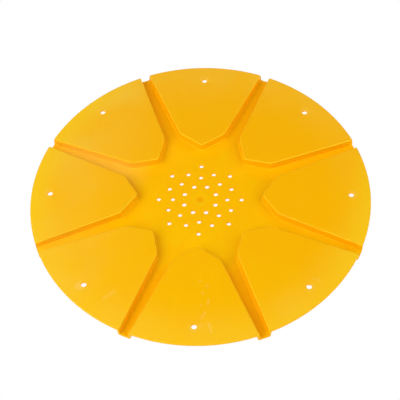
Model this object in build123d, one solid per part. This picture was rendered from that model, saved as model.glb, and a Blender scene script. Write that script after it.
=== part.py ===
from build123d import *
import os
from math import sin, cos, tan, radians, hypot

# Eight-way bee escape disc: one shallow plastic tray.
# Millimetres, +Z up, origin on the disc's axis at the underside of the central
# floor. Channel 1 runs out along +X and the rest follow every 45 degrees
# counter-clockwise; panel 1 lies between channels 1 and 2.

# ---------------------------------------------------------------- dimensions
ways = 8                     # exit channels, and raised panels between them
rim_radius = 160.0           # outside of the disc
sheet = 2.0                  # thickness of floor and panels
wall = 1.8                   # thickness of the upright walls
depth = 8.6                  # top of the panels above the central floor
floor_rise = 1.2             # how much a channel floor climbs to the rim
draft = 4.0                  # degrees, walls lean outward as they rise

tip_radius = 58.8            # inner point of a panel, measured on its top
tip_half_angle = 56.0        # between a panel's axis and its inner edges
channel_ref_radius = 113.6   # where channel_half is measured
channel_half = 6.60          # half of a channel's width at its top edges
channel_taper = -0.041       # change of that half width per mm outward

tip_round = 3.5              # plan radius at a panel's inner point
shoulder_round = 7.0         # plan radius where a channel opens to the centre
rim_round = 1.2              # plan radius at a panel's rim corners
edge_round = 0.9             # round along the top edges of the panels
foot_round = 1.6             # round where walls meet the floor
skin_round = 1.0             # round along the outer foot of the walls, underneath
hole_round = 0.3             # softened top edge of the screw holes and vents
basin_reach = 82.0           # where the central basin hands over to a channel

screw_circle = 142.0         # radius of the screw hole circle
screw_hole = 5.0             # diameter
vent_rings = [               # radius, diameter, on a channel axis?
    (16.0, 4.2, True),
    (25.8, 3.9, False),
    (31.9, 3.9, True),
    (39.3, 3.9, False),
]
gate_width, gate_deep = 9.2, 0.45  # shallow dish in the middle of the floor

# ---------------------------------------------------------------- derived
step = 360.0 / ways
half = step / 2.0
top = sheet + depth          # top of the panels
lean = tan(radians(draft))
under = top - sheet          # underside of the panels, top of the walls


def cross(p, d, q, e):
    # meeting point of the lines p + s d and q + t e
    k = d[0] * e[1] - d[1] * e[0]
    s = ((q[0] - p[0]) * e[1] - (q[1] - p[1]) * e[0]) / k
    return (p[0] + s * d[0], p[1] + s * d[1])


def panel_outline(grow):
    # Panel on the +X axis, its four inner lines moved outward by grow.
    a = radians(tip_half_angle)
    d1 = (cos(a), sin(a))                       # inner edge, upper half
    n1 = (-sin(a), cos(a))                      # its outward normal
    p1 = (tip_radius + n1[0] * grow, n1[1] * grow)
    c, s = cos(radians(half)), sin(radians(half))
    # side edge: in the channel's frame the offset is -(channel_half + taper*(r - ref))
    d2l = (1.0, -channel_taper)
    p2l = (channel_ref_radius, -channel_half)
    m = hypot(*d2l)
    d2 = ((d2l[0] * c - d2l[1] * s) / m, (d2l[0] * s + d2l[1] * c) / m)
    n2 = (-d2[1], d2[0])
    p2 = (p2l[0] * c - p2l[1] * s + n2[0] * grow, p2l[0] * s + p2l[1] * c + n2[1] * grow)
    tip = cross(p1, d1, (0.0, 0.0), (1.0, 0.0))
    shoulder = cross(p1, d1, p2, d2)
    far = cross(p2, d2, (rim_radius + 25.0, 0.0), (0.0, 1.0))
    return [tip, shoulder, far, (far[0], -far[1]), (shoulder[0], -shoulder[1])]


def drafted_block(z_top, grow, z_low, r_tip, r_shoulder):
    # Straight-sided block that widens downward at the draft angle.
    pts = panel_outline(grow)
    face = make_face(Polyline(*[(x, y, z_top) for x, y in pts], close=True))
    vs = face.vertices()
    tips = [v for v in vs if abs(v.Y) < 1e-6 and v.X < rim_radius]
    shoulders = [v for v in vs if abs(v.Y) > 1e-6 and v.X < rim_radius]
    face = fillet(tips, r_tip)
    shoulders = [v for v in face.vertices()
                 if min(hypot(v.X - p[0], v.Y - p[1]) for p in (pts[1], pts[4])) < 1e-3]
    face = fillet(shoulders, r_shoulder)
    return extrude(face, amount=z_top - z_low, dir=(0, 0, -1), taper=-draft)


# Solid raised block under one panel (its outer skin) and the hollow inside it.
block = drafted_block(top, 0.0, -2.0, tip_round, shoulder_round)
hollow_grow = (top - under) * lean - wall
hollow = drafted_block(under, hollow_grow, -2.0, tip_round - 1.9, shoulder_round - 1.7)

disc = Cylinder(rim_radius, top, align=(Align.CENTER, Align.CENTER, Align.MIN))
big = Cylinder(rim_radius + 15.0, 60.0)

# ---------------------------------------------------------------- panel
slab = block & disc & Pos(0, 0, under) * Box(600, 600, 60, align=(Align.CENTER, Align.CENTER, Align.MIN))
corners = [e for e in slab.edges()
           if abs(hypot(e.center().X, e.center().Y) - rim_radius) < 0.2
           and abs(e.center().Y) > 20 and abs((e @ 0).Z - (e @ 1).Z) > 1.0]
slab = fillet(corners, rim_round)
upper = [e for e in slab.edges() if abs((e @ 0).Z - top) < 1e-4 and abs((e @ 1).Z - top) < 1e-4
         and abs(e.center().Z - top) < 1e-4]
slab = fillet(upper, edge_round)
slab = slab - Pos(screw_circle, 0, 0) * Cylinder(screw_hole / 2, 60)
mouths = [e for e in slab.edges() if e.geom_type == GeomType.CIRCLE
          and abs(e.radius - screw_hole / 2) < 1e-3 and abs(e.center().Z - top) < 1e-4]
slab = fillet(mouths, hole_round)
panel = slab

# ---------------------------------------------------------------- channel along +X
a_block = Rot(0, 0, half) * block
b_block = Rot(0, 0, -half) * block
a_hollow = Rot(0, 0, half) * hollow
b_hollow = Rot(0, 0, -half) * hollow

rise_angle_run = rim_radius - basin_reach


def side_profile(z_in, z_out, z_roof):
    # Side view of a channel's length, drawn past both ends along the same slope.
    k = (z_out - z_in) / rise_angle_run
    x0, x1 = basin_reach - 10.0, rim_radius + 10.0
    pts = [(x0, 0, z_in + k * (x0 - basin_reach)), (x1, 0, z_in + k * (x1 - basin_reach)),
           (x1, 0, z_roof), (x0, 0, z_roof)]
    return make_face(Polyline(*pts, close=True))


way_space = extrude(side_profile(sheet, sheet + floor_rise, top + 5), amount=20, dir=(0, 1, 0), both=True)
way_space = way_space - a_block - b_block
feet = [e for e in way_space.edges()
        if e.length > 50 and e.center().Z < sheet + floor_rise + 0.5]
way_space = fillet(feet, foot_round)

gutter = extrude(side_profile(0.0, floor_rise, under), amount=20, dir=(0, 1, 0), both=True)
gutter = gutter - a_hollow - b_hollow
skins = [e for e in gutter.edges()
         if e.length > 50 and e.center().Z < floor_rise + 0.5 and abs(e.center().Y) > 1.0]
gutter = fillet(skins, skin_round)
gutter = gutter & Pos(basin_reach, 0, 0) * Box(300, 60, 60, align=(Align.MIN, Align.CENTER, Align.CENTER))
gutter = gutter & disc
gutter = gutter - way_space
channel = gutter

# ---------------------------------------------------------------- central basin
apothem = basin_reach
octagon = extrude(RegularPolygon(apothem, ways, major_radius=False, rotation=half), amount=under)
corner = octagon.vertices().sort_by(Axis.X)[-1]
basin_space = Pos(0, 0, sheet) * Cylinder(basin_reach + 25, top + 5, align=(Align.CENTER, Align.CENTER, Align.MIN))
for i in range(ways):
    basin_space = basin_space - Rot(0, 0, half + step * i) * block
feet = [e for e in basin_space.edges()
        if abs(e.center().Z - sheet) < 1e-4 and abs((e @ 0).Z - sheet) < 1e-4
        and hypot(e.center().X, e.center().Y) < basin_reach + 22]
basin_space = fillet(feet, foot_round)

skin = Cylinder(basin_reach + 25, under, align=(Align.CENTER, Align.CENTER, Align.MIN))
for i in range(ways):
    skin = skin - Rot(0, 0, half + step * i) * hollow
skins = [e for e in skin.edges()
         if abs((e @ 0).Z) < 1e-4 and abs((e @ 1).Z) < 1e-4
         and hypot(e.center().X, e.center().Y) < basin_reach + 22]
skin = fillet(skins, skin_round)

basin = (octagon & skin) - basin_space
for radius, width, on_channel in vent_rings:
    for i in range(ways):
        a = radians(step * i + (0.0 if on_channel else half))
        basin = basin - Pos(radius * cos(a), radius * sin(a), 0) * Cylinder(width / 2, 20)
mouths = [e for e in basin.edges() if e.geom_type == GeomType.CIRCLE
          and e.radius < 3.0 and abs(e.center().Z - sheet) < 1e-4]
basin = fillet(mouths, hole_round)
dish = ((gate_width / 2) ** 2 + gate_deep ** 2) / (2 * gate_deep)      # radius of the dish's sphere
basin = basin - Pos(0, 0, sheet + dish - gate_deep) * Rot(90, 0, 0) * Sphere(dish)

# ---------------------------------------------------------------- export
parts = {"centre_basin": basin}
for i in range(ways):
    parts["channel_%d" % (i + 1)] = Rot(0, 0, step * i) * channel
    parts["panel_%d" % (i + 1)] = Rot(0, 0, half + step * i) * panel

os.makedirs("parts", exist_ok=True)
for name, shape in parts.items():
    solids = shape.solids()
    print(name, "solids", len(solids), "volume %.1f" % sum(s.volume for s in solids), shape.bounding_box())
    export_step(shape, "parts/%s.step" % name)
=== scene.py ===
import bpy
from math import cos, pi, radians, sin

from mathutils import Matrix, Vector

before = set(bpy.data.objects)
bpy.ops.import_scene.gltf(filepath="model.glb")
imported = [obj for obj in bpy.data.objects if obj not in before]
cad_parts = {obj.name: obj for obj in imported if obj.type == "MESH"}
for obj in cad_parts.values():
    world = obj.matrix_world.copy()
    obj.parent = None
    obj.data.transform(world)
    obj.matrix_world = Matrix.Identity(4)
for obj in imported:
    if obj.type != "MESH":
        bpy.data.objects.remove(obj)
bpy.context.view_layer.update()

scene = bpy.context.scene
scene.view_settings.view_transform = "Standard"
scene.view_settings.look = "None"
scene.view_settings.exposure = 0.0
scene.view_settings.gamma = 1.0

# ------------------------------------------------------------------ material
# One polypropylene moulding, so one material on every piece. It is worked out
# from the object's own coordinates, in metres, so it runs across the seams
# between pieces without a step.
mat = bpy.data.materials.new("yellow_polypropylene")
mat.use_nodes = True
nt = mat.node_tree
for n in list(nt.nodes):
    nt.nodes.remove(n)


def node(kind, **settings):
    n = nt.nodes.new(kind)
    for k, v in settings.items():
        setattr(n, k, v)
    return n


def put(socket, value):
    if isinstance(value, bpy.types.NodeSocket):
        nt.links.new(value, socket)
    else:
        socket.default_value = value


def math(op, a, b=None, c=None):
    n = node("ShaderNodeMath", operation=op)
    for i, v in enumerate((a, b, c)):
        if v is not None:
            put(n.inputs[i], v)
    return n.outputs[0]


def times(*vals):
    v = vals[0]
    for w in vals[1:]:
        v = math("MULTIPLY", v, w)
    return v


def plus(*vals):
    v = vals[0]
    for w in vals[1:]:
        v = math("ADD", v, w)
    return v


def ramp(value, lo, hi, out_lo=0.0, out_hi=1.0):
    n = node("ShaderNodeMapRange", interpolation_type="SMOOTHSTEP")
    put(n.inputs["Value"], value)
    n.inputs["From Min"].default_value = lo
    n.inputs["From Max"].default_value = hi
    n.inputs["To Min"].default_value = out_lo
    n.inputs["To Max"].default_value = out_hi
    return n.outputs["Result"]


def mix(fac, a, b):
    n = node("ShaderNodeMix", data_type="RGBA")
    put(n.inputs[0], fac)
    put(n.inputs[6], a)
    put(n.inputs[7], b)
    return n.outputs[2]


def noise(vec, scale, detail=2.0, rough=0.5, distort=0.0):
    n = node("ShaderNodeTexNoise")
    put(n.inputs["Vector"], vec)
    n.inputs["Scale"].default_value = scale
    n.inputs["Detail"].default_value = detail
    n.inputs["Roughness"].default_value = rough
    n.inputs["Distortion"].default_value = distort
    return n.outputs["Fac"]


def combine(x, y, z):
    n = node("ShaderNodeCombineXYZ")
    put(n.inputs[0], x)
    put(n.inputs[1], y)
    put(n.inputs[2], z)
    return n.outputs[0]


place = node("ShaderNodeTexCoord")
coord = place.outputs["Object"]
facing = node("ShaderNodeSeparateXYZ")
nt.links.new(place.outputs["Normal"], facing.inputs[0])
NZ = facing.outputs[2]
split = node("ShaderNodeSeparateXYZ")
nt.links.new(coord, split.inputs[0])
X, Y, Z = split.outputs
R = math("SQRT", math("ADD", math("MULTIPLY", X, X), math("MULTIPLY", Y, Y)))
TH = math("ARCTAN2", Y, X)

# the same place on every panel: U outward along the panel's middle, V across it
fold = math("SUBTRACT", math("WRAP", TH, radians(45.0), 0.0), radians(22.5))
U = math("MULTIPLY", R, math("COSINE", fold))
V = math("MULTIPLY", R, math("SINE", fold))


def reach(dx, dy):
    return math("SQRT", math("ADD", math("MULTIPLY", dx, dx), math("MULTIPLY", dy, dy)))


def spot(x, y, inner, outer):
    """1 within inner millimetres of (x, y), falling to 0 at outer."""
    d = reach(math("SUBTRACT", X, x / 1000), math("SUBTRACT", Y, y / 1000))
    return ramp(d, inner / 1000, outer / 1000, 1.0, 0.0)


def streak(x1, y1, x2, y2, half):
    """1 along the line between two points in millimetres, falling to 0 at half millimetres to each side and past its ends."""
    a, b = Vector((x1, y1)) / 1000, Vector((x2, y2)) / 1000
    d = (b - a).normalized()
    mid, length = (a + b) / 2, (b - a).length
    px, py = math("SUBTRACT", X, mid.x), math("SUBTRACT", Y, mid.y)
    along = math("ABSOLUTE", math("ADD", math("MULTIPLY", px, d.x), math("MULTIPLY", py, d.y)))
    across = math("ABSOLUTE", math("SUBTRACT", math("MULTIPLY", px, d.y), math("MULTIPLY", py, d.x)))
    return times(ramp(along, length * 0.25, length * 0.5 + 0.001, 1.0, 0.0), ramp(across, half / 4000, half / 1000, 1.0, 0.0))


top = ramp(Z, 0.0098, 0.0105)                    # the panels' flat tops
edge = times(ramp(Z, 0.0093, 0.0098), ramp(Z, 0.01040, 0.01059, 1.0, 0.0), ramp(R, 0.157, 0.1585, 1.0, 0.0))   # their rounded lips, painted lighter as a highlight

# slow colour variation: mottle, and flow lines running out from the gate
mottle = noise(coord, 38.0, 3.0, 0.55, 0.4)
flow = noise(combine(math("MULTIPLY", TH, 14.0), math("MULTIPLY", R, 16.0), 0.0), 1.6, 3.0, 0.6, 0.15)

# handling haze with painted sheen: a thin pale film, broken up at random as haze, and thicker at the rim and down the
# lit side as painted sheen
film = noise(coord, 21.0, 3.0, 0.55, 0.35)
drift = noise(coord, 8.0, 1.0, 0.5, 0.2)
rim = ramp(R, 0.112, 0.162)
lip = ramp(R, 0.122, 0.166)
to_side = math("ADD", math("MULTIPLY", X, -0.92), math("MULTIPLY", Y, -0.38))
side = ramp(to_side, 0.02, 0.14)
back_rim = times(ramp(math("ADD", math("MULTIPLY", X, -0.38), math("MULTIPLY", Y, 0.92)), 0.07, 0.16), 0.20)
front_rim = times(ramp(math("ADD", math("MULTIPLY", X, 0.38), math("MULTIPLY", Y, -0.92)), 0.03, 0.16), lip, 0.08)
gutter = times(ramp(Z, 0.0085, 0.0095, 1.0, 0.0), spot(-110.0, 1.0, 20.0, 60.0))          # the channel on that side, hazed and painted paler as sheen
gutter2 = times(ramp(Z, 0.0085, 0.0095, 1.0, 0.0), spot(-140.0, -140.0, 60.0, 120.0))
haze_and_sheen = times(top, plus(times(rim, 0.20), times(side, 0.45), back_rim, front_rim, times(spot(123.5, -83.6, 2.0, 24.0), 0.14)), ramp(film, 0.25, 0.75, 0.45, 1.45), ramp(drift, 0.3, 0.7, 0.75, 1.2))
haze_and_sheen = math("MINIMUM", plus(haze_and_sheen, times(gutter, 0.85), times(gutter2, 0.25)), 1.0)

# marks of moulding: the gate and the flow round each screw hole. The gate's dimple is painted darker as shade with a
# painted highlight round it, and the spots on the star floor are painted sheen.
# the gate's dimple, painted darker as shade, and the ring round it, painted lighter as a highlight
gate_pit = ramp(R, 0.0008, 0.0050, 1.0, 0.0)
gate_ring = times(ramp(R, 0.0040, 0.0054), ramp(R, 0.0066, 0.0086, 1.0, 0.0))
# lighter spots on the star floor: painted sheen
sheen_spots = plus(times(spot(-36.8, -36.8, 2.6, 4.8), 1.0), times(spot(0.0, -53.0, 2.6, 4.8), 1.0), times(spot(37.5, 37.5, 2.6, 4.8), 0.5), times(spot(0.0, 53.0, 2.6, 4.8), 0.5))
hole = reach(math("SUBTRACT", U, 0.142), V)
outward = ramp(math("SUBTRACT", U, 0.142), -0.0035, 0.0035, 0.25, 1.0)
hole_ring = times(ramp(hole, 0.0046, 0.0068, 1.0, 0.0), outward, top)
hole_side = times(ramp(hole, 0.0040, 0.0095, 1.0, 0.0), ramp(math("SUBTRACT", U, 0.142), -0.0065, 0.0005, 1.0, 0.0), top)
flare = times(spot(-57.5, -134.5, 2.4, 5.8), top)

# wear: dry rubbed marks and flecks, broken up by a fine noise
grit = ramp(noise(coord, 420.0, 3.0, 0.6, 0.2), 0.40, 0.62, 0.25, 1.0)
specks = plus(
    times(streak(-31.5, -138.0, -24.2, -124.3, 2.2), 0.55), times(spot(-31.3, -137.4, 0.6, 2.6), 0.5),
    times(streak(63.6, -122.3, 71.6, -131.7, 2.0), 0.62), times(streak(54.5, -101.0, 56.8, -107.4, 1.7), 0.55),
    times(streak(57.6, -113.6, 56.6, -122.4, 1.8), 0.50), times(spot(39.6, -87.4, 0.7, 2.4), 0.45),
    times(spot(48.2, -89.3, 0.6, 2.0), 0.45), times(spot(47.6, -97.4, 0.6, 1.9), 0.40), times(spot(51.0, -109.2, 0.6, 1.9), 0.42),
    times(streak(130.2, -46.3, 136.4, -43.8, 1.5), 0.60), times(streak(134.4, -43.8, 139.2, -48.6, 1.4), 0.50), times(spot(132.9, -30.4, 0.5, 1.9), 0.35),
    times(spot(60.5, -127.5, 1.0, 5.5), 0.28))
scratch_vec = combine(math("ADD", math("MULTIPLY", X, 0.94), math("MULTIPLY", Y, 0.34)), math("MULTIPLY", math("SUBTRACT", math("MULTIPLY", Y, 0.94), math("MULTIPLY", X, 0.34)), 14.0), 0.0)
fine = ramp(noise(scratch_vec, 55.0, 4.0, 0.62, 0.05), 0.60, 0.78)
fine2_vec = combine(math("MULTIPLY", math("ADD", X, math("MULTIPLY", Y, 0.5)), 12.0), math("SUBTRACT", Y, math("MULTIPLY", X, 0.5)), 0.0)
fine2 = ramp(noise(fine2_vec, 60.0, 4.0, 0.62, 0.05), 0.62, 0.80)
rub = times(top, plus(times(fine, 0.5), times(fine2, 0.35)), ramp(film, 0.42, 0.68, 0.1, 1.0))
wear = math("MINIMUM", plus(times(specks, grit, top, 0.42), times(rub, 0.14)), 1.0)

body = (0.985, 0.470, 0.0, 1)
warm = (0.975, 0.452, 0.0, 1)
light = (0.970, 0.550, 0.002, 1)
pale = (0.958, 0.550, 0.042, 1)
dry = (1.0, 0.66, 0.20, 1)
# painted fill light: lighter, redder copies of the body for the walls and floors, lighter still toward the near side
# and in two gutters, standing in for light in their shade
low = (1.0, 0.512, 0.0, 1)
near_low = (1.0, 0.555, 0.0, 1)
gutter_low = (0.990, 0.552, 0.0, 1)
# painted light: a lighter copy of the body for the tops on the near side
near_body = (0.968, 0.492, 0.0, 1)

# masks for the painted light: the near side, the star, the two gutters and everything below the tops
near_top = ramp(math("ADD", math("MULTIPLY", X, 0.05), math("MULTIPLY", Y, -1.0)), -0.02, 0.11)
near = ramp(math("ADD", math("MULTIPLY", X, 0.46), math("MULTIPLY", Y, -0.89)), 0.0, 0.09)
star = ramp(R, 0.080, 0.100, 1.0, 0.0)
gutter_floors = times(ramp(Z, 0.0034, 0.0052, 1.0, 0.0), plus(spot(-85.0, -85.0, 34.0, 60.0), spot(120.0, 0.0, 34.0, 60.0)))
floors = mix(gutter_floors, mix(times(near, star), low, near_low), gutter_low)
colour = mix(ramp(Z, 0.0086, 0.0100, 1.0, 0.0), mix(near_top, body, near_body), floors)
colour = mix(times(ramp(mottle, 0.35, 0.70), 0.30), colour, warm)
colour = mix(times(ramp(flow, 0.50, 0.75), 0.22), colour, light)
# painted sheen spots on the star floor
colour = mix(times(sheen_spots, 0.55), colour, light)
# painted highlight along the panels' rounded lips
colour = mix(times(edge, 0.9), colour, (1.0, 0.66, 0.02, 1))
# the pale film: handling haze and painted sheen
colour = mix(haze_and_sheen, colour, pale)
# the rim is thin and lets more light through, most at the two sides
sides = plus(ramp(math("MULTIPLY", X, -1.0), 0.105, 0.155, 0.0, 0.85), times(ramp(X, 0.105, 0.155, 0.0, 0.85), ramp(Y, -0.075, -0.010, 0.35, 1.0)))
front = ramp(math("MULTIPLY", Y, -1.0), 0.03, 0.10, 0.04, 0.46)
colour = mix(times(top, lip, math("MINIMUM", plus(sides, front), 1.0)), colour, (0.975, 0.590, 0.010, 1))
colour = mix(times(hole_side, 0.35), colour, warm)
colour = mix(times(hole_ring, 0.55), colour, pale)
colour = mix(times(flare, 0.20), colour, dry)
# painted highlight round the gate
colour = mix(times(gate_ring, 0.6), colour, light)
# painted shade in the gate's dimple
colour = mix(times(gate_pit, 0.75), colour, (0.95, 0.375, 0.0, 1))
colour = mix(wear, colour, dry)
# the walls of the holes take no haze; their fixed full-red colour is painted glow, standing in for light through the
# thin plastic
bore = times(ramp(math("ABSOLUTE", NZ), 0.2, 0.6, 1.0, 0.0), ramp(R, 0.043, 0.046, 1.0, 0.0))
bore2 = times(ramp(math("ABSOLUTE", NZ), 0.2, 0.6, 1.0, 0.0), ramp(hole, 0.0030, 0.0034, 1.0, 0.0))
colour = mix(plus(bore, bore2), colour, (1.0, 0.475, 0.0, 1))

out = node("ShaderNodeOutputMaterial")
bsdf = node("ShaderNodeBsdfPrincipled")
put(bsdf.inputs["Base Color"], colour)
sheen = plus(times(ramp(mottle, 0.3, 0.7, -0.04, 0.04), 1.0), times(haze_and_sheen, 0.10), times(wear, 0.16), times(gate_pit, -0.08), times(edge, -0.06))
put(bsdf.inputs["Roughness"], math("ADD", sheen, 0.44))
bsdf.inputs["Specular IOR Level"].default_value = 0.12
bsdf.inputs["Specular Tint"].default_value = (1.0, 0.75, 0.35, 1)
bsdf.inputs["IOR"].default_value = 1.49

# skin: faint orange peel, the mould's fine grain and the rubbed marks
peel = noise(coord, 420.0, 2.0, 0.5, 0.0)
grain = noise(coord, 2600.0, 2.0, 0.6, 0.0)
height = plus(times(peel, 1.0), times(grain, 0.35), times(rub, -0.6), times(wear, 0.5))
bump = node("ShaderNodeBump")
bump.inputs["Strength"].default_value = 1.0
bump.inputs["Distance"].default_value = 0.000012
put(bump.inputs["Height"], height)
nt.links.new(bump.outputs[0], bsdf.inputs["Normal"])
nt.links.new(bsdf.outputs[0], out.inputs[0])

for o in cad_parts.values():
    o.data.materials.clear()
    o.data.materials.append(mat)

# ------------------------------------------------------------------ stage
me = bpy.data.meshes.new("floor")
s = 6.0
me.from_pydata([(-s, -s, -0.0005), (s, -s, -0.0005), (s, s, -0.0005), (-s, s, -0.0005)], [], [(0, 1, 2, 3)])
floor = bpy.data.objects.new("floor", me)
scene.collection.objects.link(floor)
fm = bpy.data.materials.new("pale_floor")
fm.use_nodes = True
for b in fm.node_tree.nodes:
    if b.type == "BSDF_PRINCIPLED":
        b.inputs["Base Color"].default_value = (0, 0, 0, 1)
        b.inputs["Specular IOR Level"].default_value = 0.0
        b.inputs["Emission Color"].default_value = (1, 1, 1, 1)
        b.inputs["Emission Strength"].default_value = 1.0
me.materials.append(fm)

# ------------------------------------------------------------------ light
world = bpy.data.worlds.new("studio")
scene.world = world
world.use_nodes = True
world.node_tree.nodes["Background"].inputs[0].default_value = (1, 1, 1, 1)
world.node_tree.nodes["Background"].inputs[1].default_value = 0.0
# the backdrop past the floor's edge is white to look at and gives no light
sky = world.node_tree.nodes.new("ShaderNodeLightPath")
world.node_tree.links.new(sky.outputs["Is Camera Ray"], world.node_tree.nodes["Background"].inputs[1])

VIEW_AZ = radians(5.1866 + 22.5)


def soft_light(name, side, height, radiance, size=1.0, far=1.4):
    """A round soft light far metres off: side is degrees round from the camera to its right, height degrees above the floor."""
    a, e = VIEW_AZ + radians(side), radians(height)
    d = Vector((sin(a) * cos(e), -cos(a) * cos(e), sin(e)))
    lamp = bpy.data.lights.new(name, "AREA")
    lamp.shape = "DISK"
    lamp.size = size
    lamp.energy = radiance * pi * pi * (size / 2) ** 2
    o = bpy.data.objects.new(name, lamp)
    o.location = d * far
    o.rotation_euler = (-d).to_track_quat("-Z", "Y").to_euler()
    scene.collection.objects.link(o)


soft_light("left_high", 270, 66, 1.44)
soft_light("left_mid", 270, 42, 2.11)
soft_light("front_left_mid", 315, 42, 2.48)
soft_light("front_left_low", 315, 18, 1.79)
soft_light("front_right_mid", 45, 42, 0.579)
soft_light("front_right_low", 45, 18, 1.63)
soft_light("right_high", 90, 66, 0.724)
soft_light("right_mid", 90, 42, 2.05)
soft_light("right_low", 90, 18, 0.868)
soft_light("back_low", 180, 18, 1.25)

# ------------------------------------------------------------------ camera
S = 0.142
f_px, el, roll, dist, tx, ty = 1106.8320, radians(54.26), radians(-3.9289), 7.3906, -0.0009, -0.0014
MID = 0.001    # height of the middle of the rim's bow above the frame's floor
az = VIEW_AZ
back = Vector((sin(az) * cos(el), -cos(az) * cos(el), sin(el)))
right = (-back).cross(Vector((0, 0, 1))).normalized()
up = right.cross(-back)
r2 = cos(roll) * right + sin(roll) * up
u2 = -sin(roll) * right + cos(roll) * up
t = Matrix.Rotation(radians(22.5), 3, "Z") @ Vector((tx, ty, 0))
pos = (t + back * dist) * S + Vector((0, 0, MID))
cam_data = bpy.data.cameras.new("camera")
cam = bpy.data.objects.new("camera", cam_data)
scene.collection.objects.link(cam)
m = Matrix((r2, u2, back)).transposed().to_4x4()
m.translation = pos
cam.matrix_world = m
cam_data.sensor_width = 36.0
cam_data.lens = f_px * 36.0 / 400.0
cam_data.clip_start = 0.01
cam_data.clip_end = 50
scene.camera = cam
